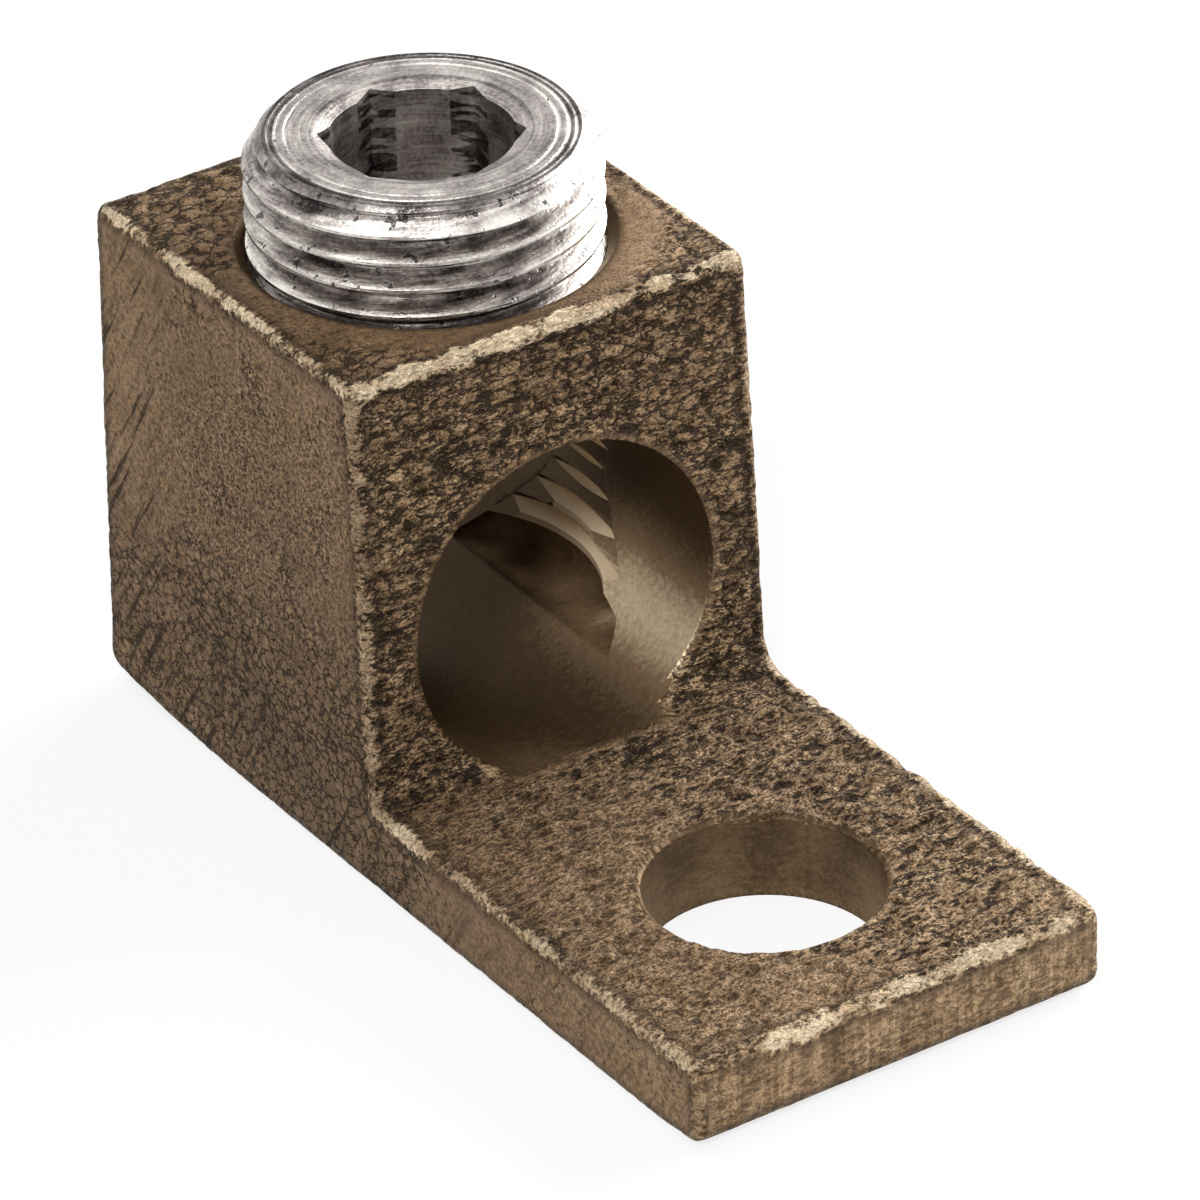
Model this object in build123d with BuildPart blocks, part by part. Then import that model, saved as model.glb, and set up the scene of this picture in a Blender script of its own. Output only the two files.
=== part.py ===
import os
from math import radians, tan

from build123d import *

# One-hole mechanical cable lug with a set screw, in millimetres.
# The origin is the stud hole's centre on the underside. +Y runs from the tongue to the block, +Z is up.

# Casting
body_width = 25.4
block_depth = 26.8
block_height = 29.8
tongue_reach = 29.7        # from the block's front face to the tip
tongue_thick = 5.1
stud_to_block = 17.5       # from the stud hole's centre to the block's front face
side_draft = 0.35          # each face leans in this far over the block's height
front_draft = 1.1
back_draft = 0.6
root_radius = 1.3          # inside corner where the tongue leaves the block
corner_radius = 0.9        # corners of the outline seen from the side
edge_radius = 0.6          # long edges round both sides
tip_lift = 0.3             # the underside rises a little at the tip
tip_run = 5.0
heel_lift = 0.9            # and more at the heel
heel_run = 13.0

# Holes in the casting
stud_hole_dia = 12.8
stud_hole_chamfer = 0.3    # on the upper rim only, the underside is flat up to the hole
bore_dia = 18.7            # takes the conductor
bore_height = 13.0         # its axis above the underside
bore_runout = 1.5          # the bore marks the tongue this far in front of the block
bore_lead_in = 0.5         # bevel at the back, where the conductor enters
tap_floor = 5.4            # height at which the tapped hole ends
tap_chamfer = 0.6

# Set screw. Its shank is as thick as its thread's crests
screw_dia = 19.05
thread_clearance = 0.075   # between the thread's crests and the wall of its hole
screw_setback = 12.8       # from the block's front face to the screw's axis
screw_length = 12.7
screw_proud = 6.2          # how far it stands above the block
screw_top_chamfer = 1.15
screw_tip_chamfer = 1.3
hex_across_flats = 9.525
hex_depth = 7.5
hex_lead_in_dia = 11.7     # bevel round the mouth of the socket
hex_lead_in_angle = 140.0  # it is shallow, so the flats reach nearly to the top
hex_turn = -33.0           # one corner of the hexagon, in degrees from +X
socket_drill_dia = 9.92    # drilled before the hexagon was broached, it shows as a strip on each flat
socket_drill_depth = 8.1
drill_point_angle = 118.0

# Places that follow from the sizes above
front_y = stud_to_block
back_y = front_y + block_depth
tip_y = front_y - tongue_reach
screw_y = front_y + screw_setback
screw_top = block_height + screw_proud
screw_foot = screw_top - screw_length


# The casting: an outline seen from the side, as wide as the body
with BuildPart() as lug_body:
    with BuildSketch(Plane.YZ):
        with BuildLine():
            TangentArc((tip_y + tip_run, 0), (tip_y, tip_lift), tangent=(-1, 0))
            Line((tip_y + tip_run, 0), (back_y - heel_run, 0))
            TangentArc((back_y - heel_run, 0), (back_y, heel_lift), tangent=(1, 0))
            Polyline(
                (back_y, heel_lift),
                (back_y - back_draft, block_height),
                (front_y + front_draft, block_height),
                (front_y, tongue_thick),
                (tip_y, tongue_thick),
                (tip_y, tip_lift),
            )
        make_face()
    extrude(amount=body_width / 2, both=True)

    # Rounded corners across the body, then the inside corner at the tongue's root
    outer_corners = [
        (0, tip_y, tip_lift),
        (0, tip_y, tongue_thick),
        (0, back_y, heel_lift),
        (0, back_y - back_draft, block_height),
        (0, front_y + front_draft, block_height),
    ]
    across = lug_body.edges().filter_by(Axis.X)
    fillet([across.sort_by_distance(corner)[0] for corner in outer_corners], corner_radius)
    across = lug_body.edges().filter_by(Axis.X)
    fillet(across.sort_by_distance((0, front_y, tongue_thick))[0], root_radius)

    # Both sides lean in towards the top, so that the pattern leaves the sand
    with BuildSketch(Plane.XZ):
        Polygon(
            (-body_width / 2, 0),
            (body_width / 2, 0),
            (body_width / 2 - side_draft, block_height),
            (side_draft - body_width / 2, block_height),
            align=None,
        )
    extrude(amount=block_depth + tongue_reach, both=True, mode=Mode.INTERSECT)
    sides = lug_body.faces().sort_by(Axis.X)
    fillet(sides[0].edges() + sides[-1].edges(), edge_radius)

    # Stud hole through the tongue
    with Locations((0, 0, tongue_thick)):
        Hole(stud_hole_dia / 2)
    stud_rims = lug_body.edges(Select.LAST).filter_by(GeomType.CIRCLE).sort_by(Axis.Z)
    chamfer(stud_rims[-1], stud_hole_chamfer)

    # Tapped hole from above
    tap_radius = screw_dia / 2 + thread_clearance
    with Locations((0, screw_y, block_height)):
        CounterSinkHole(tap_radius, tap_radius + tap_chamfer, block_height - tap_floor, counter_sink_angle=90)

    # Conductor bore across it, with a bevel where the conductor enters at the back
    with Locations(Plane((0, back_y, bore_height), x_dir=(1, 0, 0), z_dir=(0, -1, 0))):
        Cone(bore_dia / 2 + bore_lead_in + back_draft, bore_dia / 2, bore_lead_in + back_draft,
             align=(Align.CENTER, Align.CENTER, Align.MIN), mode=Mode.SUBTRACT)
    # It is cut both ways from the screw's axis, and its wall stays two stretches, before and behind the screw
    with BuildSketch(Plane((0, screw_y, bore_height), x_dir=(1, 0, 0), z_dir=(0, 1, 0))) as bore_section:
        Circle(bore_dia / 2)
    extrude(bore_section.sketch, amount=back_y - screw_y, mode=Mode.SUBTRACT, clean=False)
    extrude(bore_section.sketch, amount=-(screw_setback + bore_runout), mode=Mode.SUBTRACT, clean=False)


# The set screw: a chamfered shank with a broached hexagon socket
with BuildPart() as set_screw:
    with Locations((0, screw_y, screw_foot)):
        Cylinder(screw_dia / 2, screw_length, align=(Align.CENTER, Align.CENTER, Align.MIN))
    chamfer(set_screw.edges().group_by(Axis.Z)[-1], screw_top_chamfer)
    chamfer(set_screw.edges().group_by(Axis.Z)[0], screw_tip_chamfer)

    with BuildSketch(Plane((0, screw_y, screw_top))):
        RegularPolygon(hex_across_flats / 2, 6, major_radius=False, rotation=hex_turn)
    extrude(amount=-hex_depth, mode=Mode.SUBTRACT)
    point_depth = socket_drill_dia / 2 / tan(radians(drill_point_angle / 2))
    lead_in_depth = (hex_lead_in_dia - socket_drill_dia) / 2 / tan(radians(hex_lead_in_angle / 2))
    with Locations(Plane((0, screw_y, screw_top), z_dir=(0, 0, -1))):
        Cylinder(socket_drill_dia / 2, socket_drill_depth,
                 align=(Align.CENTER, Align.CENTER, Align.MIN), mode=Mode.SUBTRACT)
        Cone(hex_lead_in_dia / 2, socket_drill_dia / 2, lead_in_depth,
             align=(Align.CENTER, Align.CENTER, Align.MIN), mode=Mode.SUBTRACT)
    with Locations(Plane((0, screw_y, screw_top - socket_drill_depth), z_dir=(0, 0, -1))):
        Cone(socket_drill_dia / 2, 0, point_depth,
             align=(Align.CENTER, Align.CENTER, Align.MIN), mode=Mode.SUBTRACT)


lug_body.part.label = "lug_body"
set_screw.part.label = "set_screw"

os.makedirs("parts", exist_ok=True)
export_step(lug_body.part, "parts/lug_body.step")
export_step(set_screw.part, "parts/set_screw.step")
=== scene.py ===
# %% [markdown]
# # A cast cable lug with its set screw
#
# The real object is two pieces of metal. A sand cast block of brown bronze has a flat tongue with a stud
# hole, a bore for the conductor and a tapped hole from above. A steel set screw with a hexagon socket
# stands in that hole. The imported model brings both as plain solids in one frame, in metres, with +Y from
# the tongue to the block and +Z up. This lesson dresses them. The casting's solid is copied and given the
# relief of its skin, the screw is built anew with its thread, the hole gets its own thread, and all three
# are painted with nodes. Nothing is moved, so every size stays as it was made.

# %% The frame
from math import cos, pi, radians, sin, tan
from types import SimpleNamespace

import bmesh
import bpy
import numpy as np
from mathutils import Matrix, Vector, noise


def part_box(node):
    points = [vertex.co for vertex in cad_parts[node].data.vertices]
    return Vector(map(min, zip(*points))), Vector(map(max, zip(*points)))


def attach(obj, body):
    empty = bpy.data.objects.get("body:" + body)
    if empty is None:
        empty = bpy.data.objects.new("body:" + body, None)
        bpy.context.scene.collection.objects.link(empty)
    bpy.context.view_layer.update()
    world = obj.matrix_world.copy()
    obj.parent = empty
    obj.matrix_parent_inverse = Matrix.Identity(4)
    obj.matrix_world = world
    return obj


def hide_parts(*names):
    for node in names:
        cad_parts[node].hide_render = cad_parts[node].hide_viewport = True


MM = 0.001
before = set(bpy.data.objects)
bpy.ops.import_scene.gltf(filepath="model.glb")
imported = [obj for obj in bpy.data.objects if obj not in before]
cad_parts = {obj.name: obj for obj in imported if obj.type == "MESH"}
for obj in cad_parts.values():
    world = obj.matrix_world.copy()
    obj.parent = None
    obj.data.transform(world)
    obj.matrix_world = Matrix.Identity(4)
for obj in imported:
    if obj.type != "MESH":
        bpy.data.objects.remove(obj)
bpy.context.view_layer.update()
lug_low, lug_high = (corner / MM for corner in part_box("lug_body"))
screw_low, screw_high = (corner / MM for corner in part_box("set_screw"))
print("lug", [round(side, 2) for side in lug_high - lug_low])
print("screw", [round(side, 2) for side in screw_high - screw_low])

# %% [markdown]
# ## Places that the pieces share
#
# Lengths below are in millimetres, because that is how a maker reads them. What can be worked out from
# the two boxes is worked out, and the rest repeats the sizes that the solids were made with.

# %% Places on the casting
block_top = lug_high.z
block_front = 17.5
tongue_top = 5.1
side_draft = 0.35           # each face of the block leans in this far at the top
front_draft = 1.1
back_draft = 0.6
tip_lift, tip_run = 0.3, 5  # the underside rises a little at the tip
heel_lift, heel_run = 0.9, 13
stud_radius = 6.4
bore_radius = 9.35
bore_height = 13.0
tap_floor = 5.4
tap_chamfer = 0.6

# %% Places on the screw, and its thread
screw_y = (screw_low.y + screw_high.y) / 2
screw_radius = (screw_high.x - screw_low.x) / 2
screw_foot, screw_top = screw_low.z, screw_high.z
thread_clearance = 0.075
tap_radius = screw_radius + thread_clearance
thread_pitch = 1.5875
thread_depth = 0.6134 * thread_pitch
flank_slope = tan(radians(30))
half_groove = (thread_pitch - thread_pitch / 8) / 2    # crests are an eighth of the pitch wide
thread_turns = (screw_top - screw_foot) / thread_pitch
print("thread:", round(thread_turns, 2), "turns,", round(thread_depth, 3), "mm deep")

# %% [markdown]
# ## Camera, light and floor
#
# The photograph looks down on the lug from the front left, from far away, so its edges hardly converge.
# A long lens at half a metre gives the same view. The world shows white to the camera and to mirror rays,
# so that metal has a bright room to reflect, while the light that falls on the surfaces comes from the
# world's plain grey and three large soft lamps.


# %% Camera
def photo_camera(azimuth, elevation, roll, distance, target, offset, lens):
    """A camera on the target, its view moved by the offset to the right and up. Angles are in degrees."""
    turn, rise, tilt = radians(azimuth), radians(elevation), radians(roll)
    back = Vector((sin(turn) * cos(rise), -cos(turn) * cos(rise), sin(rise)))
    level = Vector((cos(turn), sin(turn), 0))
    up = back.cross(level)
    right = cos(tilt) * level + sin(tilt) * up
    top = cos(tilt) * up - sin(tilt) * level
    centre = Vector(target) + offset[0] * right + offset[1] * top
    data = bpy.data.cameras.new("photo_camera")
    data.lens = lens
    data.sensor_width = 36
    data.clip_start = 0.01
    data.clip_end = 20
    camera = bpy.data.objects.new("photo_camera", data)
    bpy.context.scene.collection.objects.link(camera)
    pose = Matrix((right, top, back)).transposed().to_4x4()
    pose.translation = (centre + distance * back) * MM
    camera.matrix_world = pose
    bpy.context.scene.camera = camera


photo_camera(azimuth=-33.221, elevation=31.608, roll=-1.664, distance=500.5,
             target=(0, block_front, 12), offset=(1.533, 1.234), lens=285.6)


# %% Helpers for nodes
def node_tree(owner):
    owner.use_nodes = True
    owner.node_tree.nodes.clear()
    return owner.node_tree


def add_node(tree, kind, **settings):
    """A node with its settings, and with values for the sockets that a dict named sockets gives."""
    sockets = settings.pop("sockets", {})
    node = tree.nodes.new(kind)
    for name, value in settings.items():
        setattr(node, name, value)
    for name, value in sockets.items():
        if isinstance(value, bpy.types.NodeSocket):
            tree.links.new(value, node.inputs[name])
        else:
            node.inputs[name].default_value = value
    return node


def maths(tree, operation, *values, clamp=False):
    return add_node(tree, "ShaderNodeMath", operation=operation, use_clamp=clamp,
                    sockets=dict(enumerate(values))).outputs[0]


def times(tree, first, second):
    return maths(tree, "MULTIPLY", first, second)


def times_plus(tree, first, second, third):
    """First times second, plus third."""
    return maths(tree, "MULTIPLY_ADD", first, second, third)


# %% World
ambient_level = 0.20


def seen_directly(tree):
    """The Light Path node, and 1 for what the camera sees and metal reflects, 0 for other light."""
    path = add_node(tree, "ShaderNodeLightPath")
    return path, maths(tree, "MAXIMUM", path.outputs["Is Camera Ray"], path.outputs["Is Glossy Ray"])


def studio_world():
    world = bpy.data.worlds.new("white_room")
    bpy.context.scene.world = world
    tree = node_tree(world)
    path, seen = seen_directly(tree)
    seen = maths(tree, "MAXIMUM", seen, path.outputs["Is Transmission Ray"])
    strength = times_plus(tree, seen, 1 - ambient_level, ambient_level)
    background = add_node(tree, "ShaderNodeBackground",
                          sockets={"Color": (1, 1, 1, 1), "Strength": strength})
    add_node(tree, "ShaderNodeOutputWorld", sockets={"Surface": background.outputs[0]})


studio_world()


# %% Lamps
def soft_lamp(name, place, aim, size, power):
    data = bpy.data.lights.new(name, "AREA")
    data.shape = "RECTANGLE"
    data.size, data.size_y = (side * MM for side in size)
    data.energy = power
    lamp = bpy.data.objects.new(name, data)
    bpy.context.scene.collection.objects.link(lamp)
    lamp.location = Vector(place) * MM
    lamp.rotation_mode = "QUATERNION"
    lamp.rotation_quaternion = (Vector(aim) - Vector(place)).to_track_quat("-Z", "Y")


middle = (0, 20, 12)
soft_lamp("key_softbox", place=(-240, -240, 350), aim=middle, size=(90, 80), power=1.60)
soft_lamp("top_softbox", place=(-40, 90, 420), aim=middle, size=(190, 170), power=0.38)
soft_lamp("right_softbox", place=(380, 65, 160), aim=middle, size=(420, 240), power=2.9)


# %% Floor
def pale_floor(reach=4000.0, own_glow=0.78):
    """Nearly white from the camera by its own glow, and dimmer where the lug keeps light away."""
    mesh = bpy.data.meshes.new("floor")
    corners = [(-reach, -reach, 0), (reach, -reach, 0), (reach, reach, 0), (-reach, reach, 0)]
    mesh.from_pydata([Vector(corner) * MM for corner in corners], [], [(0, 1, 2, 3)])
    floor = bpy.data.objects.new("floor", mesh)
    bpy.context.scene.collection.objects.link(floor)
    material = bpy.data.materials.new("pale_floor")
    tree = node_tree(material)
    matt = add_node(tree, "ShaderNodeBsdfDiffuse", sockets={"Color": (0.92, 0.92, 0.92, 1)})
    glow = add_node(tree, "ShaderNodeEmission", sockets={"Color": (1, 1, 1, 1)})
    seen = seen_directly(tree)[1]
    mixed = add_node(tree, "ShaderNodeMixShader",
                     sockets={0: times(tree, seen, own_glow), 1: matt.outputs[0], 2: glow.outputs[0]})
    add_node(tree, "ShaderNodeOutputMaterial", sockets={"Surface": mixed.outputs[0]})
    mesh.materials.append(material)


pale_floor()
bpy.context.scene.view_settings.view_transform = "Standard"


# %% [markdown]
# ## The casting's shape
#
# Sand leaves a skin of lumps, shallow pits and little cracks. A bump map alone would leave the outline
# ruler straight, so the relief is real here: the solid is copied, cut into small even faces by the Remesh
# modifier, and its points are pushed along their normals by noise. Remesh in its sharp mode keeps the rims
# of the holes crisp. What is drilled or tapped stays smooth, and for that each point gets a few numbers
# that the material reads too.

# %% Helpers for meshes
def new_piece(name, mesh):
    piece = bpy.data.objects.new(name, mesh)
    bpy.context.scene.collection.objects.link(piece)
    return piece


def finish_mesh(work, name):
    mesh = bpy.data.meshes.new(name)
    work.to_mesh(mesh)
    work.free()
    return mesh


def welded_copy(node, weld=0.001):
    """The node's mesh with its split corners joined again."""
    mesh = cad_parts[node].data.copy()
    mesh.materials.clear()
    work = bmesh.new()
    work.from_mesh(mesh)
    bmesh.ops.remove_doubles(work, verts=work.verts, dist=weld * MM)
    work.to_mesh(mesh)
    work.free()
    return mesh


def apply_modifiers(piece):
    bpy.context.view_layer.update()
    finished = bpy.data.meshes.new_from_object(piece.evaluated_get(bpy.context.evaluated_depsgraph_get()))
    piece.modifiers.clear()
    piece.data = finished
    return finished


def even_faces(name, mesh, cell, depth=8):
    """A piece whose faces are all about as long as one cell."""
    piece = new_piece(name, mesh)
    longest = max(piece.dimensions) / MM
    remesh = piece.modifiers.new("even_faces", "REMESH")
    remesh.mode = "SHARP"
    remesh.octree_depth = depth
    remesh.scale = longest / (cell * 2 ** depth)
    remesh.use_remove_disconnected = False
    apply_modifiers(piece).name = name
    return piece


def triangle_count(mesh):
    return sum(len(face.vertices) - 2 for face in mesh.polygons)


# %% Helpers for the values at each point
def read_points(mesh):
    """Places in millimetres and normals, one row for each point."""
    places = np.zeros(len(mesh.vertices) * 3, np.float32)
    mesh.vertices.foreach_get("co", places)
    normals = np.zeros(len(mesh.vertices) * 3, np.float32)
    mesh.vertices.foreach_get("normal", normals)
    return places.reshape(-1, 3).astype(float) / MM, normals.reshape(-1, 3).astype(float)


def write_points(mesh, places):
    mesh.vertices.foreach_set("co", (places * MM).astype(np.float32).ravel())
    mesh.update()


def keep_values(mesh, name, values):
    attribute = mesh.attributes.new(name, "FLOAT", "POINT")
    attribute.data.foreach_set("value", values.astype(np.float32))


class Neighbours:
    """Averages over the points that share an edge."""

    def __init__(self, mesh):
        ends = np.zeros(len(mesh.edges) * 2, np.int32)
        mesh.edges.foreach_get("vertices", ends)
        self.first, self.second = ends.reshape(-1, 2).T
        self.size = len(mesh.vertices)
        self.count = np.maximum(self.total(np.ones(self.size)), 1)

    def total(self, values):
        return (np.bincount(self.first, values[self.second], self.size)
                + np.bincount(self.second, values[self.first], self.size))

    def mean(self, values):
        if values.ndim == 1:
            return self.total(values) / self.count
        return np.stack([self.total(column) / self.count for column in values.T], 1)


def smooth_step(low, high, values):
    """0 at low and 1 at high, with a soft start and end."""
    t = np.clip((values - low) / (high - low), 0, 1)
    return t * t * (3 - 2 * t)


def bell(values, middle, width):
    """1 at the middle, fading to nothing on both sides."""
    return np.exp(-((values - middle) / width) ** 2)


# %% The outer edges, where a casting wears first
def lug_edges():
    """Two corners for each edge, how wide it is worn in millimetres, and how bright it is, partly polish and
    partly a painted highlight.
    """
    x_foot, x_top = lug_high.x, lug_high.x - side_draft
    tip, back = lug_low.y, lug_high.y
    corners = {
        "tip_low": (x_foot, tip, tip_lift),
        "tip_high": (x_foot, tip, tongue_top),
        "root": (x_foot, block_front, tongue_top),
        "front_top": (x_top, block_front + front_draft, block_top),
        "back_top": (x_top, back - back_draft, block_top),
        "heel": (x_foot, back, heel_lift),
        "heel_start": (x_foot, back - heel_run, 0),
        "tip_start": (x_foot, tip + tip_run, 0),
    }
    round_the_side = [
        ("tip_low", "tip_high", 0.22, 0.35),
        ("tip_high", "root", 0.34, 0.60),
        ("root", "front_top", 0.38, 0.40),
        ("front_top", "back_top", 0.31, 0.85),
        ("back_top", "heel", 0.20, 0.30),
        ("heel", "heel_start", 0.10, 0.20),
        ("heel_start", "tip_start", 0.10, 0.20),
        ("tip_start", "tip_low", 0.10, 0.20),
    ]
    across = [
        ("tip_low", 0.10, 0.2),
        ("tip_high", 0.50, 0.85),
        ("front_top", 0.55, 1.0),
        ("back_top", 0.3, 0.6),
        ("heel", 0.1, 0.2),
    ]
    # The tongue's right edges are worn wider and get a stronger painted highlight.
    right_tongue_extra = 0.22
    edges = []
    for side in (-1, 1):
        for first, second, wear, shine in round_the_side:
            ends = [np.array(corners[name]) * (side, 1, 1) for name in (first, second)]
            extra = right_tongue_extra if side > 0 and first == "tip_high" else 0
            edges.append((*ends, wear + extra, shine + extra))
    for name, wear, shine in across:
        edges.append((np.array(corners[name]) * (-1, 1, 1), np.array(corners[name]), wear, shine))
    return edges


def edge_gap(places, farthest=9.0):
    """Distance in millimetres to the nearest outer edge, and that edge's wear and brightness, which is
    partly polish and partly a painted highlight.
    """
    gap = np.full(len(places), farthest)
    worn = np.zeros((len(places), 2))
    for first, second, wear, shine in lug_edges():
        along = second - first
        share = np.clip((places - first) @ along / (along @ along), 0, 1)
        distance = np.linalg.norm(places - first - share[:, None] * along, axis=1)
        nearer = distance < gap
        gap[nearer] = distance[nearer]
        worn[nearer] = (wear, shine)
    return gap, worn[:, 0], worn[:, 1]


# %% Which finish each place has
def round_axis(places, normals, across, centre):
    """Distance to an axis, and how squarely a point faces it: 1 on the wall of a hole round that axis."""
    offset = places[:, across] - centre
    distance = np.hypot(*offset.T)
    return distance, -(offset * normals[:, across]).sum(1) / np.maximum(distance, 1)


def casting_regions(places, normals, squarely=0.3):
    """Masks from 0 to 1: what is machined, and which way the cast skin faces."""
    x, y, z = places.T
    to_bore, faces_bore = round_axis(places, normals, [0, 2], (0, bore_height))
    to_screw, faces_screw = round_axis(places, normals, [0, 1], (0, screw_y))
    to_stud, faces_stud = round_axis(places, normals, [0, 1], (0, 0))
    in_bore = (to_bore < bore_radius + 0.2) & (faces_bore > squarely) & (y > block_front - 2)
    near_tap = to_screw < tap_radius + 0.1
    in_tap = near_tap & (faces_screw > squarely)
    in_floor = near_tap & (normals[:, 2] > 0.5) & (z < tap_floor + 0.5)
    in_stud = (to_stud < stud_radius + 0.25) & (faces_stud > squarely) & (z < tongue_top)
    in_chamfer = (to_screw < tap_radius + tap_chamfer + 0.1) & (faces_screw > squarely)
    in_chamfer &= z > block_top - tap_chamfer - 0.3
    machined = in_bore | in_tap | in_floor | in_chamfer
    to_front, to_top = np.clip(-normals[:, 1], 0, 1), np.clip(normals[:, 2], 0, 1)
    seat = smooth_step(14.0, 10.8, to_screw) * smooth_step(4, -4, y - screw_y + 0.3 * x)
    return {
        "cast": 1.0 - (machined | in_stud),
        "machined": machined.astype(float),
        "tapped": ((in_tap | in_floor) & ~in_bore).astype(float),
        "chamfer": in_chamfer.astype(float),
        "stud": in_stud.astype(float),
        "front": to_front * (y > 10),
        "tip": to_front * (y < 0),
        "back": np.clip(normals[:, 1], 0, 1),
        "top": to_top * (z > block_top - 3),
        "tongue": to_top * (z < tongue_top + 1.5) * (y < block_front + 0.5),
        "sides": np.abs(normals[:, 0]),
        "under": np.clip(-normals[:, 2], 0, 1),
        "seat": seat * (z > block_top - 1),
        "bore_rim": smooth_step(1.6, 0.4, abs(to_bore - bore_radius)) * (abs(y - block_front - 0.5) < 1.5),
    }


def weighted(regions, **weights):
    """The sum of the named regions, each times its weight."""
    return sum(weight * regions[name] for name, weight in weights.items())


# %% [markdown]
# ## The skin's relief and paint
#
# Relief and paint come from the same noises, so what is low is also dark. The material reads these values
# at each point of the mesh:
#
# - gap: distance to the nearest outer edge. wear: how wide that edge is bare. Then how bright that bare edge
#   is, partly polish and partly a painted highlight.
# - pale: the tone, from dark to pale. On the machined walls it is the value that sets the colour. On the
#   bore's wall and on the teeth of the hole's thread it holds painted light and shade, and on the tops of
#   the block and the tongue it is painted paler towards the right.
# - pitted, cracked, grain: how much the place has of round pits, of a net of cracks and of fine grit.
# - lined: scratches that slant over the far and low parts of the sides. streaky: streaks up the tip.
# - cast: 1 on the skin as it left the sand, 0 where a tool has been.

# %% Noises of the skin
skin_names = ("gap", "wear", "shine", "pale", "pitted", "cracked", "grain", "lined", "streaky", "cast")
farthest_gap = 4


def field(places, stretch, offset, octaves=1):
    """Smooth noise, about -1 to 1, at every point. A stretch is in waves for each millimetre."""
    shift = Vector(offset)
    values = np.empty(len(places))
    for index, (x, y, z) in enumerate(places.tolist()):
        where = Vector((x * stretch[0], y * stretch[1], z * stretch[2])) + shift
        values[index] = noise.noise(where) if octaves == 1 else noise.fractal(where, 0.8, 2.1, octaves)
    return values


def skin_noises(places):
    slow = field(places, (0.13, 0.11, 0.15), (3, 9, 2))
    pocks = field(places, (1.0, 1.75, 1.9), (31, 11, 5), 2)
    return SimpleNamespace(
        slow=slow,
        patches=field(places, (0.33, 0.30, 0.38), (13, 2, 7), 2),
        lumps=field(places, (0.75, 1.0, 1.05), (5, 1, 8), 3),
        crumple=field(places, (0.42, 0.8, 0.8), (8, 3, 21), 2),
        chips=field(places, (0.6, 0.6, 0.6), (2, 17, 4), 2),
        streaks=field(places, (2.1, 0.1, 0.12), (1, 4, 9), 2),
        pits=np.clip((pocks - 0.18 + 0.25 * slow) * 4, 0, 1),
    )


# %% How the skin is raised
def rough_share(regions):
    """How rough each face is: the front most, the sides and the tip least."""
    share = weighted(regions, front=1.0, top=0.85 * (1 - 0.8 * regions["seat"]), tongue=0.9, back=0.9,
                     sides=0.30, tip=0.25, under=0.25)
    return np.clip(share, 0, 1)


def worn_edges(places, noises):
    gap, wear, shine = edge_gap(places)
    wear = np.clip(wear * (1 + 0.55 * noises.patches + 0.45 * noises.chips), 0.03, 1.1)
    return gap, wear, np.clip(shine * (1 + 0.8 * noises.patches), 0, 1)


def skin_height(places, regions, noises, gap, wear):
    """How far each point stands out of the plain solid, in millimetres."""
    x, y, z = places.T
    away_from_edge = 0.3 + 0.7 * smooth_step(0.3, 1.6, gap)
    height = rough_share(regions) * (0.14 * noises.lumps - 0.22 * noises.pits) * away_from_edge
    height += 0.25 * np.clip(noises.crumple, -1, 1) * regions["tongue"] * smooth_step(-6, 8, x - 0.4 * y)
    lip = bell(gap, 0, 0.5) * np.clip(wear / 0.5, 0.2, 1.2)
    behind_lip = bell(gap - wear, 0.55, 0.25) * np.clip(weighted(regions, top=1, tongue=1, front=1), 0, 1)
    height += lip * (0.04 + 0.045 * noises.chips) - 0.08 * behind_lip
    crust = regions["bore_rim"] * np.clip(10 - z, 0, 4)
    height += 0.02 * crust * (1 + noises.lumps)
    return height * regions["cast"]


# %% How the skin is painted
def bore_painted_light(x, y, z):
    """Paleness of the bore's wall: a painted highlight low on the right, a paler band along the bottom near
    the mouth, and painted shade over the rest, which is dark.
    """
    angle = np.arctan2(z - bore_height, x)
    painted_bore_highlight = bell(angle, -0.60, 0.42) * smooth_step(33, 24, y)
    below = bell(angle, -1.75, 0.35) * smooth_step(24, 17, y)
    return -0.02 + 0.72 * painted_bore_highlight + 0.22 * below


def skin_tone(places, regions, noises, low_side):
    x, y, z = places.T
    # Painted light: the tops of the block and of the tongue are painted paler towards +x, the side the right
    # lamp lights.
    pale = weighted(
        regions,
        front=0.20 + 0.003 * x,
        top=0.12 + 0.011 * x - 0.20 * regions["seat"],
        tongue=0.14 + 0.011 * x - 0.010 * (y - 2),
        sides=0.01 + 0.10 * smooth_step(2, -8, y),
        tip=0.24 + 0.25 * noises.streaks,
        back=0.05,
    )
    pale += 0.14 * noises.slow + 0.12 * noises.patches - 0.13 * low_side
    pale += rough_share(regions) * (0.12 * np.clip(noises.lumps, -1, 1) - 0.25 * noises.pits)
    root = smooth_step(2.2, 0.8, np.hypot(y - block_front, z - tongue_top)) * regions["bore_rim"]
    pale += root * (0.45 + 0.9 * noises.chips)
    for name, tone in (
        ("machined", bore_painted_light(x, y, z)),
        ("tapped", 0.32 + 0.35 * noises.patches),
        # Painted shade: the chamfer round the screw is painted nearly black, standing in for the shade in
        # the gap.
        ("chamfer", 0.02),
        ("stud", 0.16 + 0.12 * noises.patches),
    ):
        pale = np.where(regions[name] > 0.5, tone, pale)
    return pale


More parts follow.
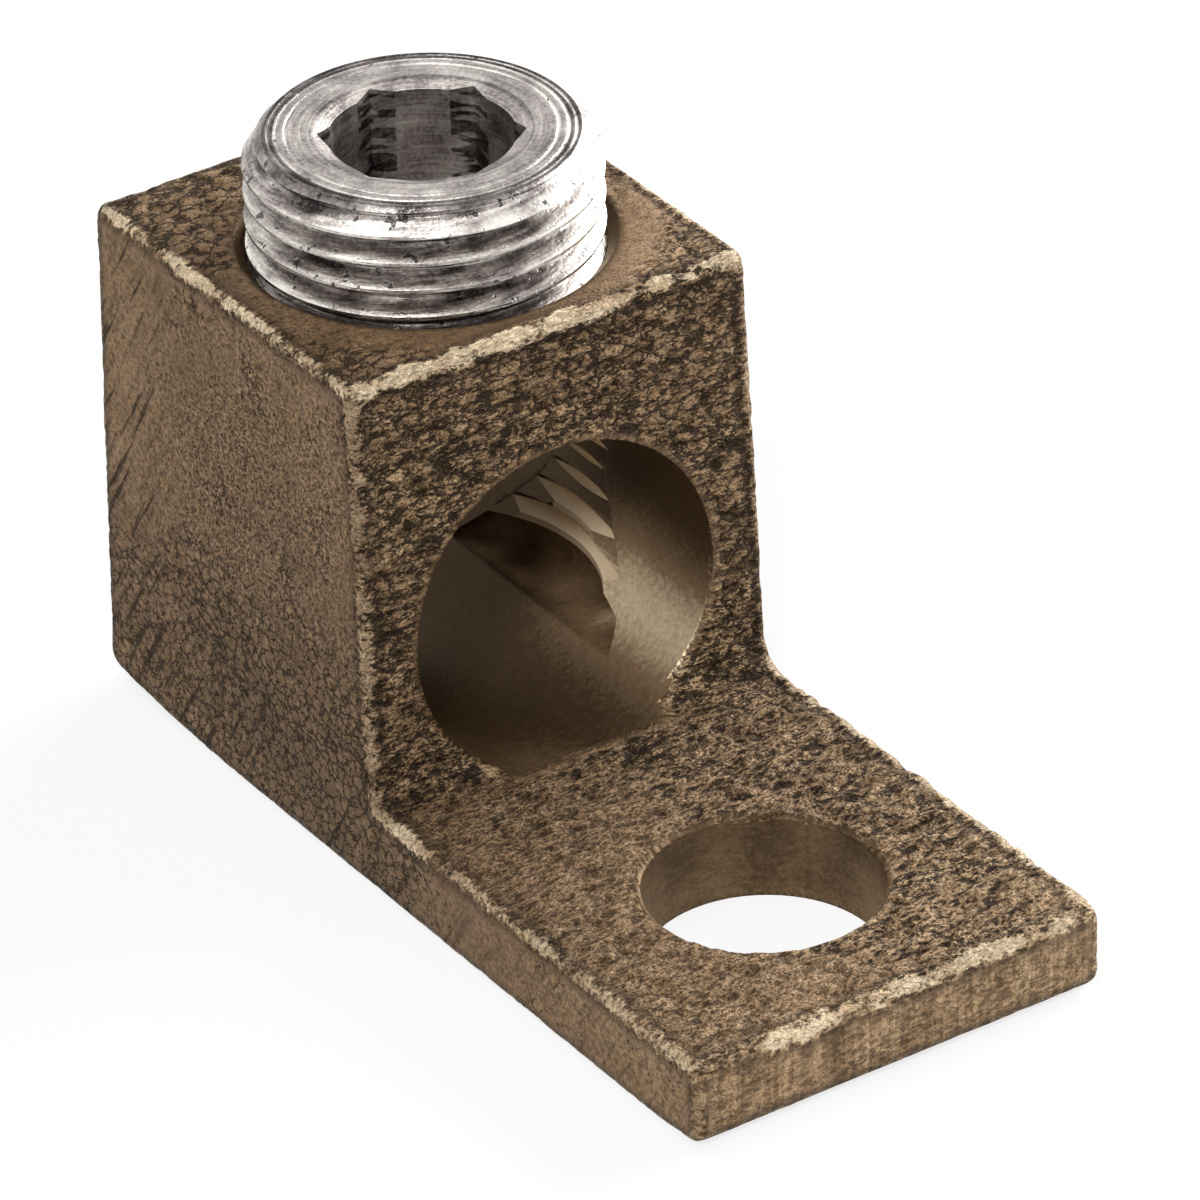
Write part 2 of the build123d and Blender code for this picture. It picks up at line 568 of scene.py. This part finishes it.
def skin_values(places, regions, noises, gap, wear, shine):
    """The values that the material reads, by name."""
    x, y, z = places.T
    cast, bare_seat = regions["cast"], 1 - regions["seat"]
    block_side = regions["sides"] * smooth_step(block_front - 8, block_front + 2, y)
    tongue_side = regions["sides"] - block_side
    low_side = smooth_step(16, 6, z) * block_side
    gritty = bell(y, 29, 10) * bell(z, 18, 8) * block_side
    crumpled = smooth_step(-0.5, 0.6, noises.slow + 0.6 * noises.patches + 0.05 * x * regions["tongue"])
    uneven = 0.55 + 0.55 * crumpled

    pitted = weighted(regions, front=0.95 - 0.02 * x, top=(0.55 + 0.03 * x) * bare_seat * uneven,
                      tongue=1.15 * uneven, back=0.9 * uneven, sides=0.15, tip=0.4, under=0.5)
    pitted = np.clip(pitted + 0.25 * gritty + 0.2 * noises.slow, 0, 1)
    cracked = weighted(regions, front=0.75 + 0.02 * x, top=(0.9 - 0.02 * x) * bare_seat,
                       tongue=0.35 * crumpled, sides=0.25, back=0.5)
    cracked = np.clip(cracked + 0.95 * low_side + 0.4 * noises.patches, 0, 1)
    grain = weighted(regions, tongue=0.45, front=0.3, sides=-0.1)
    grain = np.clip(grain + 0.45 + 0.95 * gritty + 0.25 * noises.slow, 0.1, 1.2)
    far_or_low = np.clip(smooth_step(34, 40, y) + smooth_step(9, 3, z - 0.12 * (y - 30)), 0, 1)
    lined = block_side * far_or_low + 0.45 * tongue_side

    values = (np.minimum(gap, farthest_gap), wear, shine, skin_tone(places, regions, noises, low_side),
              pitted * cast, cracked * (1 - 0.5 * lined) * cast, grain * (1 - 0.6 * lined) * cast,
              lined * cast, regions["tip"], cast)
    return dict(zip(skin_names, values))


# %% The casting
def make_casting(cell=0.29):
    piece = even_faces("cast_lug", welded_copy("lug_body"), cell)
    mesh = piece.data
    places, normals = read_points(mesh)
    near = Neighbours(mesh)
    regions = casting_regions(places, normals)
    noises = skin_noises(places)
    gap, wear, shine = worn_edges(places, noises)
    height = skin_height(places, regions, noises, gap, wear)
    values = skin_values(places, regions, noises, gap, wear, shine)

    raised = near.mean(regions["cast"]) * regions["cast"]
    all_cast_round = (raised > 0.999)[:, None]
    for _ in range(2):
        places = np.where(all_cast_round, 0.5 * places + 0.5 * near.mean(places), places)
    write_points(mesh, places + normals * (height * raised)[:, None])
    for name, value in values.items():
        softened = name in ("pale", "pitted", "cracked", "grain")
        keep_values(mesh, name, near.mean(value) if softened else value)
    mesh.shade_smooth()
    mesh.set_sharp_from_angle(angle=radians(50))
    print("casting:", triangle_count(mesh), "triangles")
    return piece


casting = make_casting()
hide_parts("lug_body")
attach(casting, "lug")


# %% [markdown]
# ## The set screw
#
# A screw is turned, threaded and broached, so every point of it is known from its angle and its place
# along the axis. One grid makes it: its rows climb one pitch for each turn, as a thread does, so the
# crests, flanks and roots lie exactly on rows. After a full turn a row meets the row above it, and the
# two are joined there. A second grid goes on over the flat top, the hexagon and the drilled bottom of the
# socket, and the seam between the two is welded.

# %% Sizes of the screw
hexagon_flat = 9.525 / 2
hexagon_depth = 7.5
hexagon_turn = radians(-33)
drill_radius = 4.96
drill_tail = 0.6                # the drill went this far past the hexagon
drill_point = radians(118 / 2)
mouth_radius = 5.85
mouth_slope = 1 / tan(radians(70))
top_chamfer = 1.15
tip_chamfer = 1.3
turned_rings = [(8.12, 0.05), (7.72, 0.06), (7.18, 0.06), (6.35, 0.02)]    # radius and depth
ring_width = 0.075

# How many rows and columns the grid has
columns = 288
profile_rows = 18               # for each pitch of the thread
top_rows = 34
lead_rows = 3
wall_rows = 40


# %% The screw's grid
def thread_radius(angle, height):
    """Radius of the screw where a 60 degree thread is cut into its shank."""
    turns = angle / (2 * pi)
    from_groove = (height - screw_foot) / thread_pitch - turns
    from_groove = abs((from_groove + 0.5) % 1.0 - 0.5) * thread_pitch
    cut = np.clip((half_groove - from_groove) / flank_slope, 0, thread_depth)
    return screw_radius - cut


def hexagon_radius(angle):
    """Distance to the socket's wall: a drilled circle with six broached corners."""
    sixth = pi / 3
    from_flat = (angle - hexagon_turn) % sixth - sixth / 2
    return max(hexagon_flat / cos(from_flat), drill_radius)


def shank_column(angle, share):
    """Radii and heights up the thread at one angle, which is a share of a turn from the first column."""
    step = thread_pitch / profile_rows
    rows = int((thread_turns + 2) * profile_rows)
    heights = screw_foot - thread_pitch + step * np.arange(rows) + thread_pitch * share
    heights = np.clip(heights, screw_foot, screw_top)
    radii = np.minimum.reduce([
        thread_radius(angle - hexagon_turn, heights),
        screw_radius - tip_chamfer + heights - screw_foot,
        screw_radius - top_chamfer + screw_top - heights,
    ])
    return zip(radii, heights)


def top_column(angle):
    """Radii and heights over the flat top, its turned rings and the socket, down to its bottom."""
    rim = screw_radius - top_chamfer
    points = [(rim, screw_top)]
    for radius in np.linspace(rim, mouth_radius, top_rows)[1:]:
        rings = sum(depth * bell(radius, middle, ring_width) for middle, depth in turned_rings)
        points.append((radius, screw_top - rings))
    wall = hexagon_radius(angle)
    lead = mouth_radius - wall
    lead_depth = lead * mouth_slope
    for k in range(1, lead_rows + 1):
        points.append((mouth_radius - lead * k / lead_rows, screw_top - lead_depth * k / lead_rows))
    wall_top, wall_foot = screw_top - lead_depth, screw_top - hexagon_depth
    for k in range(1, wall_rows + 1):
        points.append((wall, wall_top + (wall_foot - wall_top) * k / wall_rows))
    bottom_radius, centre_radius = drill_radius - 0.02, 1.0
    bottom = wall_foot - drill_tail
    points.append((bottom_radius, wall_foot))
    points.append((bottom_radius, bottom))
    points.append((centre_radius, bottom - (drill_radius - centre_radius) / tan(drill_point)))
    return points


def place_points(work, angle, column):
    direction, axis = Vector((cos(angle), sin(angle), 0)), Vector((0, screw_y, 0))
    return [work.verts.new((axis + direction * float(radius) + Vector((0, 0, float(height)))) * MM)
            for radius, height in column]


def screw_mesh():
    work = bmesh.new()
    shank, top = [], []
    for column in range(columns):
        share = column / columns
        angle = hexagon_turn + 2 * pi * share
        shank.append(place_points(work, angle, shank_column(angle, share)))
        top.append(place_points(work, angle, top_column(angle)))

    highest = len(shank[0]) - 1
    for c in range(columns):
        climb = profile_rows if c == columns - 1 else 0
        here, there = shank[c], shank[(c + 1) % columns]
        for r in range(highest):
            low, high = min(r + climb, highest), min(r + 1 + climb, highest)
            if low == high:
                break
            work.faces.new((here[r], there[low], there[high], here[r + 1]))
    for c in range(columns):
        here, there = top[c], top[(c + 1) % columns]
        for r in range(len(here) - 1):
            work.faces.new((here[r], there[r], there[r + 1], here[r + 1]))
    work.faces.new([column[-1] for column in top])
    foot = work.verts.new(Vector((0, screw_y, screw_foot)) * MM)
    for c in range(columns):
        work.faces.new((shank[(c + 1) % columns][0], shank[c][0], foot))
    bmesh.ops.remove_doubles(work, verts=work.verts, dist=0.002 * MM)
    bmesh.ops.dissolve_degenerate(work, edges=work.edges, dist=0.001 * MM)
    return finish_mesh(work, "threaded_screw")


# %% The screw
def edge_use(mesh):
    """How many faces each edge has: a closed skin has two at every edge."""
    use = np.zeros(len(mesh.edges), int)
    loops = np.zeros(len(mesh.loops), np.int32)
    mesh.loops.foreach_get("edge_index", loops)
    np.add.at(use, loops, 1)
    return use


def make_screw():
    """The screw, with values for the thread's roots, the flat top, the socket and its broached corners."""
    mesh = screw_mesh()
    piece = new_piece("threaded_screw", mesh)
    places, _ = read_points(mesh)
    height = places[:, 2]
    reach = np.hypot(places[:, 0], places[:, 1] - screw_y)
    under_thread = 7.8
    on_shank = reach > under_thread
    on_top = (reach > mouth_radius - 0.01) & (height > screw_top - 0.03)
    in_socket = (reach < mouth_radius + 0.05) & (height > screw_foot + 1)
    on_wall = (reach < 5.6) & (abs(height - screw_top + 4) < 3.51)
    in_corner = on_wall & (reach > drill_radius + 0.012)
    keep_values(mesh, "root", np.clip((screw_radius - reach) / thread_depth, 0, 1) * on_shank)
    keep_values(mesh, "flat", on_top)
    keep_values(mesh, "socket", in_socket)
    keep_values(mesh, "broached", in_corner)
    mesh.shade_smooth()
    mesh.set_sharp_from_angle(angle=radians(28))
    open_edges = int((edge_use(mesh) != 2).sum())
    print("screw:", triangle_count(mesh), "triangles,", open_edges, "open edges")
    return piece


screw = make_screw()
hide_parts("set_screw")
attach(screw, "screw")


# %% [markdown]
# ## The thread in the hole
#
# Where the bore opens into the tapped hole, the photograph shows the hole's own thread, cut off by the
# bore into a row of teeth. It is a ridge that follows the screw's groove with a little play. It is swept
# as a closed band along the helix, and a Boolean takes away what stands in the bore.

# %% The ridge
ridge_play = 0.06               # between the ridge and the screw's flanks
ridge_foot = tap_radius + 0.05  # it starts a little inside the wall
ridge_crest = 8.78
first_turn, last_turn = -10.6, 3.4
turn_steps = 120
run_out = 0.4                   # share of its last turn over which the ridge grows out of the wall


def ridge_half_width(radius):
    return half_groove - (screw_radius - radius) * flank_slope - ridge_play


def hole_thread_mesh():
    work = bmesh.new()
    sections = []
    for k in range(int((last_turn - first_turn) * turn_steps) + 1):
        turn = first_turn + k / turn_steps
        angle = hexagon_turn + 2 * pi * turn
        height = screw_foot + thread_pitch * turn
        crest = ridge_foot - (ridge_foot - ridge_crest) * min(1, 0.05 + (last_turn - turn) / run_out)
        corners = [(ridge_foot, -1), (crest, -1), (crest, 1), (ridge_foot, 1)]
        section = [(radius, height + side * ridge_half_width(radius)) for radius, side in corners]
        sections.append(place_points(work, angle, section))
    for here, there in zip(sections, sections[1:]):
        for k in range(4):
            work.faces.new((here[k], here[(k + 1) % 4], there[(k + 1) % 4], there[k]))
    work.faces.new(list(reversed(sections[0])))
    work.faces.new(sections[-1])
    bmesh.ops.recalc_face_normals(work, faces=work.faces)
    return finish_mesh(work, "hole_thread")


def bore_cutter(segments=180, length=40):
    work = bmesh.new()
    along_bore = Matrix.Rotation(radians(90), 4, "X")
    place = Matrix.Translation(Vector((0, screw_y, bore_height)) * MM)
    bmesh.ops.create_cone(work, cap_ends=True, segments=segments, radius1=bore_radius * MM,
                          radius2=bore_radius * MM, depth=length * MM, matrix=place @ along_bore)
    return new_piece("bore_cutter", finish_mesh(work, "bore_cutter"))


# %% The ridge, cut off by the bore
def ridge_painted_light(x, y, z):
    """Where the bore has cut the ridge, the bore wall's painted light and shade; on the flanks a painted
    highlight, strongest on the right.
    """
    if abs(np.hypot(x, z - bore_height) - bore_radius) < 0.03:
        return float(bore_painted_light(x, y, z))
    return 0.98 - 0.11 * float(np.clip(8 - x, 0, 6))


def make_hole_thread():
    piece = new_piece("hole_thread", hole_thread_mesh())
    cutter = bore_cutter()
    cut = piece.modifiers.new("bore", "BOOLEAN")
    cut.operation = "DIFFERENCE"
    cut.solver = "EXACT"
    cut.object = cutter
    mesh = apply_modifiers(piece)
    bpy.data.objects.remove(cutter)
    for name in skin_names:
        if name != "pale":
            keep_values(mesh, name, np.full(len(mesh.vertices), farthest_gap if name == "gap" else 0))
    pale = mesh.attributes.new("pale", "FLOAT", "FACE")
    pale.data.foreach_set("value", [ridge_painted_light(*(face.center / MM)) for face in mesh.polygons])
    print("hole thread:", triangle_count(mesh), "triangles")
    return piece


hole_thread = make_hole_thread()
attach(hole_thread, "lug")


# %% [markdown]
# ## Finishes
#
# Both metals are made of a few effects that lie over each other: a slow change of tone, grain, pits and
# wear on what stands proud. Grain is in both, so it is a node group, built once and placed with other
# values each time. The net of cracks is a group too, because that keeps its few nodes together.

# %% More helpers for nodes
def mix_colours(tree, factor, first, second):
    return add_node(tree, "ShaderNodeMix", data_type="RGBA",
                    sockets={0: factor, 6: first, 7: second}).outputs[2]


def mix_values(tree, factor, first, second):
    return add_node(tree, "ShaderNodeMix", data_type="FLOAT",
                    sockets={0: factor, 2: first, 3: second}).outputs[0]


def largest(tree, first, *others):
    for other in others:
        first = maths(tree, "MAXIMUM", first, other)
    return first


def set_range(tree, value, low, high):
    """0 at low and 1 at high, with a soft start and end."""
    return add_node(tree, "ShaderNodeMapRange", interpolation_type="SMOOTHSTEP",
                    sockets={0: value, 1: low, 2: high}).outputs[0]


def ramp(tree, factor, stops):
    node = add_node(tree, "ShaderNodeValToRGB", sockets={0: factor})
    points = node.color_ramp.elements
    while len(points) < len(stops):
        points.new(0.5)
    for point, (place, colour) in zip(points, stops):
        point.position = place
        point.color = (*colour, 1)
    return node.outputs[0]


def mottled(tree, tone, texture, amount):
    """A tone that is darker where the texture is over its middle, and paler where it is under it."""
    return times_plus(tree, maths(tree, "SUBTRACT", 0.5, texture), amount, tone)


def noise_texture(tree, vector, scale, detail, roughness):
    return add_node(tree, "ShaderNodeTexNoise", sockets={
        "Vector": vector, "Scale": scale, "Detail": detail, "Roughness": roughness}).outputs


# %% Node groups: grain at one size, and cracks
def group_sockets(group, inputs, outputs):
    for name, kind, value in inputs:
        socket = group.interface.new_socket(name, in_out="INPUT", socket_type=kind)
        if value is not None:
            socket.default_value = value
    for name, kind in outputs:
        group.interface.new_socket(name, in_out="OUTPUT", socket_type=kind)
    return add_node(group, "NodeGroupInput").outputs, add_node(group, "NodeGroupOutput").inputs


def grain_group():
    """Fine grit: a value about 0.5, with harder specks as Contrast goes up."""
    group = bpy.data.node_groups.new("metal_grain", "ShaderNodeTree")
    given, result = group_sockets(
        group,
        [("Vector", "NodeSocketVector", None), ("Size", "NodeSocketFloat", 1.0),
         ("Contrast", "NodeSocketFloat", 1.0), ("Detail", "NodeSocketFloat", 3.0),
         ("Roughness", "NodeSocketFloat", 0.6)],
        [("Value", "NodeSocketFloat")],
    )
    scale = maths(group, "DIVIDE", 1.0, given["Size"])
    texture = noise_texture(group, given["Vector"], scale, given["Detail"], given["Roughness"])
    centred = maths(group, "SUBTRACT", texture[0], 0.5)
    spread = maths(group, "MULTIPLY_ADD", centred, given["Contrast"], 0.5, clamp=True)
    group.links.new(spread, result["Value"])
    return group


def cracks_group():
    """Narrow lines between uneven cells. Wander is a noise colour that bends them."""
    group = bpy.data.node_groups.new("skin_cracks", "ShaderNodeTree")
    given, result = group_sockets(
        group,
        [("Vector", "NodeSocketVector", None), ("Wander", "NodeSocketColor", None),
         ("Size", "NodeSocketFloat", 1.0), ("Width", "NodeSocketFloat", 0.08)],
        [("Mask", "NodeSocketFloat")],
    )
    pulled = add_node(group, "ShaderNodeVectorMath", operation="MULTIPLY_ADD",
                      sockets={0: given["Wander"], 1: (0.9, 0.9, 0.9), 2: given["Vector"]})
    scale = maths(group, "DIVIDE", 1.0, given["Size"])
    cells = add_node(group, "ShaderNodeTexVoronoi", feature="DISTANCE_TO_EDGE",
                     sockets={"Vector": pulled.outputs[0], "Scale": scale, "Randomness": 1.0})
    line = set_range(group, cells.outputs["Distance"], given["Width"], times(group, given["Width"], 0.4))
    group.links.new(line, result["Mask"])
    return group


grain = grain_group()
cracks = cracks_group()


# %% Placing a group, and what it reads
def use_group(tree, group, **sockets):
    return add_node(tree, "ShaderNodeGroup", node_tree=group, sockets=sockets).outputs[0]


def in_millimetres(tree, stretch=(1, 1, 1), centre=(0, 0, 0)):
    """The place on the object from a centre, in millimetres, with each direction stretched."""
    coordinates = add_node(tree, "ShaderNodeTexCoord")
    mapping = add_node(tree, "ShaderNodeMapping", vector_type="POINT",
                       sockets={"Vector": coordinates.outputs["Object"],
                                "Scale": [s / MM for s in stretch],
                                "Location": [-s * c for s, c in zip(stretch, centre)]})
    return mapping.outputs[0]


def stored(tree, name):
    return add_node(tree, "ShaderNodeAttribute", attribute_name=name).outputs["Fac"]


# %% [markdown]
# ### Cast bronze
#
# Old sand cast bronze is brown and dull, nearly black in its pits and cracks, and pale where handling has
# worn the edges; the brightest edges carry a painted highlight as well. The bore's wall and the teeth of the
# hole's thread carry painted light and shade. Noise at three sizes gives the tone and the pits, a Voronoi
# texture gives the cracks, and the values stored in the mesh say how much of each a place has. A picture of
# such a skin would be quicker, but it would have seams at the corners, and it would not know where the edges
# are.

# %% The skin's marks
def slanted_scratches(tree, place):
    """Noise drawn out along lines that lean over the sides of the block."""
    across = add_node(tree, "ShaderNodeVectorMath", operation="DOT_PRODUCT",
                      sockets={0: place, 1: (0, 0.843, 0.537)}).outputs["Value"]
    along = add_node(tree, "ShaderNodeVectorMath", operation="DOT_PRODUCT",
                     sockets={0: place, 1: (0, -0.537, 0.843)}).outputs["Value"]
    slanted = add_node(tree, "ShaderNodeCombineXYZ",
                       sockets={0: times(tree, across, 2.3), 1: times(tree, along, 0.13)}).outputs[0]
    return noise_texture(tree, slanted, 1.0, 3.0, 0.65)[0]


def skin_marks(tree, at):
    """The noises of the skin, and masks for what is sunk into it."""
    place = in_millimetres(tree)
    drawn = in_millimetres(tree, (0.58, 1.0, 1.15))
    coarse, wander = noise_texture(tree, drawn, 2.9, 2.0, 0.6)[:2]
    wide = noise_texture(tree, drawn, 1.35, 2.5, 0.55)[0]
    fine = use_group(tree, grain, Vector=place, Size=1 / 6.2, Detail=2.5, Roughness=0.62)
    upright = noise_texture(tree, in_millimetres(tree, (3.2, 0.2, 0.22)), 1.0, 3.0, 0.6)[0]
    scratches = slanted_scratches(tree, place)

    crack = use_group(tree, cracks, Vector=drawn, Wander=wander, Size=0.80,
                      Width=times_plus(tree, at.cracked, 0.055, 0.065))
    where_cracked = maths(tree, "ADD", at.cracked, times(tree, coarse, 0.6))
    crack = times(tree, crack, set_range(tree, where_cracked, 0.45, 0.80))
    pit = times(tree, set_range(tree, coarse, 0.575, 0.615), at.pitted)
    bowl = times(tree, set_range(tree, coarse, 0.50, 0.62), at.pitted)
    hole = times(tree, set_range(tree, wide, 0.595, 0.640), set_range(tree, at.pitted, 0.35, 0.85))
    speck = times(tree, set_range(tree, fine, 0.555, 0.610), at.grain)
    scratch = times(tree, set_range(tree, scratches, 0.575, 0.63), at.lined)
    hollow = largest(tree, pit, crack, times(tree, scratch, 0.85), times(tree, speck, 0.80), hole)
    return SimpleNamespace(coarse=coarse, wide=wide, fine=fine, upright=upright, scratches=scratches,
                           crack=crack, bowl=bowl, hole=hole, hollow=hollow)


# %% The skin's colour
def cast_colour(tree, at, marks):
    tone = times_plus(tree, at.pale, 0.62, 0.56)
    tone = mottled(tree, tone, marks.scratches, times(tree, at.lined, 0.5))
    tone = mottled(tree, tone, marks.upright, times(tree, at.streaky, 0.7))
    tone = mottled(tree, tone, marks.wide, times(tree, at.pitted, 0.42))
    tone = mottled(tree, tone, marks.coarse, 0.42)
    tone = mottled(tree, tone, marks.fine, times_plus(tree, at.grain, 0.95, 0.14))
    skin = ramp(tree, tone, [
        (0.08, (0.018, 0.011, 0.006)), (0.32, (0.078, 0.046, 0.024)), (0.52, (0.175, 0.108, 0.058)),
        (0.72, (0.315, 0.205, 0.114)), (0.92, (0.54, 0.375, 0.220))])
    pit_black = (0.012, 0.009, 0.008, 1)
    return mix_colours(tree, times(tree, marks.hollow, 0.90), skin, pit_black)


def machined_colour(tree, at, marks):
    tone = times_plus(tree, marks.fine, 0.22, times_plus(tree, marks.coarse, 0.3, at.pale))
    return ramp(tree, tone, [
        (0.02, (0.020, 0.012, 0.006)), (0.34, (0.070, 0.043, 0.022)), (0.72, (0.28, 0.186, 0.105)),
        (1.0, (0.78, 0.62, 0.42))])


def worn_colour(tree, at, marks, skin):
    """Bare metal with a frayed border along the edges, brighter where the edge's painted highlight is, a
    painted shade line behind it, and the mask of what is bare.
    """
    frayed = times_plus(tree, maths(tree, "SUBTRACT", marks.coarse, 0.5), 0.9, at.gap)
    frayed = times_plus(tree, maths(tree, "SUBTRACT", marks.fine, 0.5), 0.45, frayed)
    from_wear = maths(tree, "SUBTRACT", frayed, times_plus(tree, at.shine, 0.08, at.wear))
    worn = times(tree, set_range(tree, from_wear, 0.10, -0.12), at.cast)
    # Painted shade: a dark line behind the bare band, standing in for the shade in the groove behind the
    # raised lip.
    behind = times(tree, set_range(tree, from_wear, 0.9, 0.30), set_range(tree, from_wear, 0.08, 0.30))
    painted_line_shade = (0.014, 0.010, 0.008, 1)
    skin = mix_colours(tree, times(tree, behind, times(tree, at.cast, 0.55)), skin, painted_line_shade)
    bare_tone = times_plus(tree, at.shine, 0.55, times_plus(tree, marks.fine, -0.7, 0.68))
    bare = ramp(tree, bare_tone, [
        (0.25, (0.14, 0.090, 0.052)), (0.48, (0.31, 0.215, 0.130)), (0.72, (0.60, 0.44, 0.28)),
        (0.95, (0.88, 0.72, 0.50))])
    return mix_colours(tree, times(tree, worn, 0.88), skin, bare), worn


# %% The skin's depth, and the material
def skin_depth(tree, at, marks, worn):
    """Height for the Bump node, in millimetres."""
    depth = times(tree, maths(tree, "SUBTRACT", 0.5, marks.fine), times_plus(tree, at.grain, 0.20, 0.02))
    depth = times_plus(tree, marks.bowl, -0.20, depth)
    depth = times_plus(tree, marks.hole, -0.14, depth)
    depth = times_plus(tree, times(tree, marks.wide, at.pitted), -1.5, depth)
    depth = times_plus(tree, marks.crack, -0.07, depth)
    depth = times_plus(tree, times(tree, at.lined, marks.scratches), -0.20, depth)
    depth = mottled(tree, depth, marks.coarse, times(tree, at.pitted, 0.95))
    return times_plus(tree, worn, 0.06, depth)


def bronze_material():
    material = bpy.data.materials.new("cast_bronze")
    tree = node_tree(material)
    at = SimpleNamespace(**{name: stored(tree, name) for name in skin_names})
    marks = skin_marks(tree, at)
    skin = mix_colours(tree, at.cast, machined_colour(tree, at, marks), cast_colour(tree, at, marks))
    skin, worn = worn_colour(tree, at, marks, skin)
    roughness = times_plus(tree, marks.hollow, 0.25, times_plus(tree, at.cast, 0.12, 0.40))
    metal = times_plus(tree, at.cast, -0.30, 0.42)
    depth = skin_depth(tree, at, marks, worn)
    bump = add_node(tree, "ShaderNodeBump", sockets={"Strength": 1.0, "Distance": 1.0 * MM, "Height": depth})
    shader = add_node(tree, "ShaderNodeBsdfPrincipled", sockets={
        "Base Color": skin, "Roughness": roughness, "Metallic": metal, "Specular IOR Level": 0.22,
        "Specular Tint": (1.0, 0.74, 0.48, 1), "Normal": bump.outputs[0]})
    add_node(tree, "ShaderNodeOutputMaterial", sockets={"Surface": shader.outputs[0]})
    return material


# %% [markdown]
# ### Plated steel
#
# The screw is bright steel where it was turned. Its shank is painted brighter on the right side, a painted
# highlight from the lamp there, and its thread's roots are painted darker, painted shade that fades out on
# the right. It is darker in the socket.
# Turning leaves fine rings round the axis. They could be an anisotropic shader, but the real ones are coarse
# enough to be seen one by one, so they are grain that is fine along the axis and long across it. The broach
# has left dark notches in the socket's corners.

# %% Rings and places on the screw
def screw_textures(tree):
    """Grain of three kinds, the distance to the right of the axis, and the stored values."""
    place = in_millimetres(tree, centre=(0, screw_y, 0))
    apart = add_node(tree, "ShaderNodeSeparateXYZ", sockets={0: place}).outputs
    flat = add_node(tree, "ShaderNodeCombineXYZ", sockets={0: apart[0], 1: apart[1]})
    reach = add_node(tree, "ShaderNodeVectorMath", operation="LENGTH", sockets={0: flat.outputs[0]})
    along = maths(tree, "ADD", apart[2], reach.outputs["Value"])
    turned = add_node(tree, "ShaderNodeCombineXYZ", sockets={
        0: times(tree, apart[0], 0.12),
        1: times(tree, apart[1], 0.12),
        2: times(tree, along, 2.4),
    }).outputs[0]
    at = SimpleNamespace(**{name: stored(tree, name) for name in ("root", "socket", "flat", "broached")})
    at.right = apart[0]
    at.off_shank = largest(tree, at.flat, at.socket)
    calm = largest(tree, times(tree, at.flat, 0.6), times(tree, at.socket, 0.65))
    at.lines = mix_values(tree, calm, use_group(tree, grain, Vector=turned, Size=0.45, Contrast=2.2), 0.5)
    at.cloud = use_group(tree, grain, Vector=place, Size=2.2, Contrast=2.4)
    at.fine = use_group(tree, grain, Vector=place, Size=0.22, Contrast=2.4)
    pock = use_group(tree, grain, Vector=place, Size=1 / 1.6, Roughness=0.5)
    at.pock = maths(tree, "SUBTRACT", set_range(tree, pock, 0.65, 0.69), at.off_shank, clamp=True)
    return at


# %% The steel's colour, and the material
def steel_colour(tree, at):
    tone = times_plus(tree, at.lines, 0.60, times(tree, at.cloud, 0.25))
    tone = times_plus(tree, at.fine, 0.20, tone)
    # Painted highlight: the shank is painted brighter towards +x. Painted shade: the thread's roots are
    # painted darker, less so on that bright side.
    painted_right_highlight = times(tree, set_range(tree, at.right, 1.0, 9.0), maths(tree, "SUBTRACT", 1.0, at.off_shank))
    painted_root_shade = times(tree, at.root, times_plus(tree, painted_right_highlight, -0.7, 1.0))
    tone = times_plus(tree, painted_root_shade, -0.30, tone)
    tone = times_plus(tree, painted_right_highlight, 0.14, tone)
    tone = times_plus(tree, at.socket, -0.18, tone)
    tone = times_plus(tree, at.flat, -0.13, tone)
    notches = noise_texture(tree, in_millimetres(tree, (0.5, 0.5, 2.2)), 0.9, 1.0, 0.5)[0]
    notched = times(tree, set_range(tree, notches, 0.46, 0.54), at.broached)
    tone = times_plus(tree, notched, -0.30, tone)
    steel = ramp(tree, tone, [
        (0.02, (0.032, 0.027, 0.026)), (0.24, (0.21, 0.186, 0.176)), (0.46, (0.50, 0.460, 0.430)),
        (0.72, (0.90, 0.86, 0.79))])
    pock_black = (0.02, 0.016, 0.016, 1)
    return mix_colours(tree, times(tree, at.pock, 0.8), steel, pock_black)


def steel_material():
    material = bpy.data.materials.new("plated_steel")
    tree = node_tree(material)
    at = screw_textures(tree)
    roughness = times_plus(tree, at.cloud, 0.18, times_plus(tree, at.socket, 0.12, 0.20))
    depth = times_plus(tree, at.lines, 0.025, times(tree, at.fine, 0.012))
    depth = times_plus(tree, at.pock, -0.06, depth)
    bump = add_node(tree, "ShaderNodeBump", sockets={"Strength": 1.0, "Distance": 1.0 * MM, "Height": depth})
    shader = add_node(tree, "ShaderNodeBsdfPrincipled", sockets={
        "Base Color": steel_colour(tree, at), "Roughness": roughness, "Metallic": 1.0,
        "Normal": bump.outputs[0]})
    add_node(tree, "ShaderNodeOutputMaterial", sockets={"Surface": shader.outputs[0]})
    return material


# %% Each piece gets its metal
bronze, steel = bronze_material(), steel_material()
for piece, material in ((casting, bronze), (hole_thread, bronze), (screw, steel)):
    piece.data.materials.clear()
    piece.data.materials.append(material)
    print(piece.name, "is", material.name, "with", len(material.node_tree.nodes), "nodes")
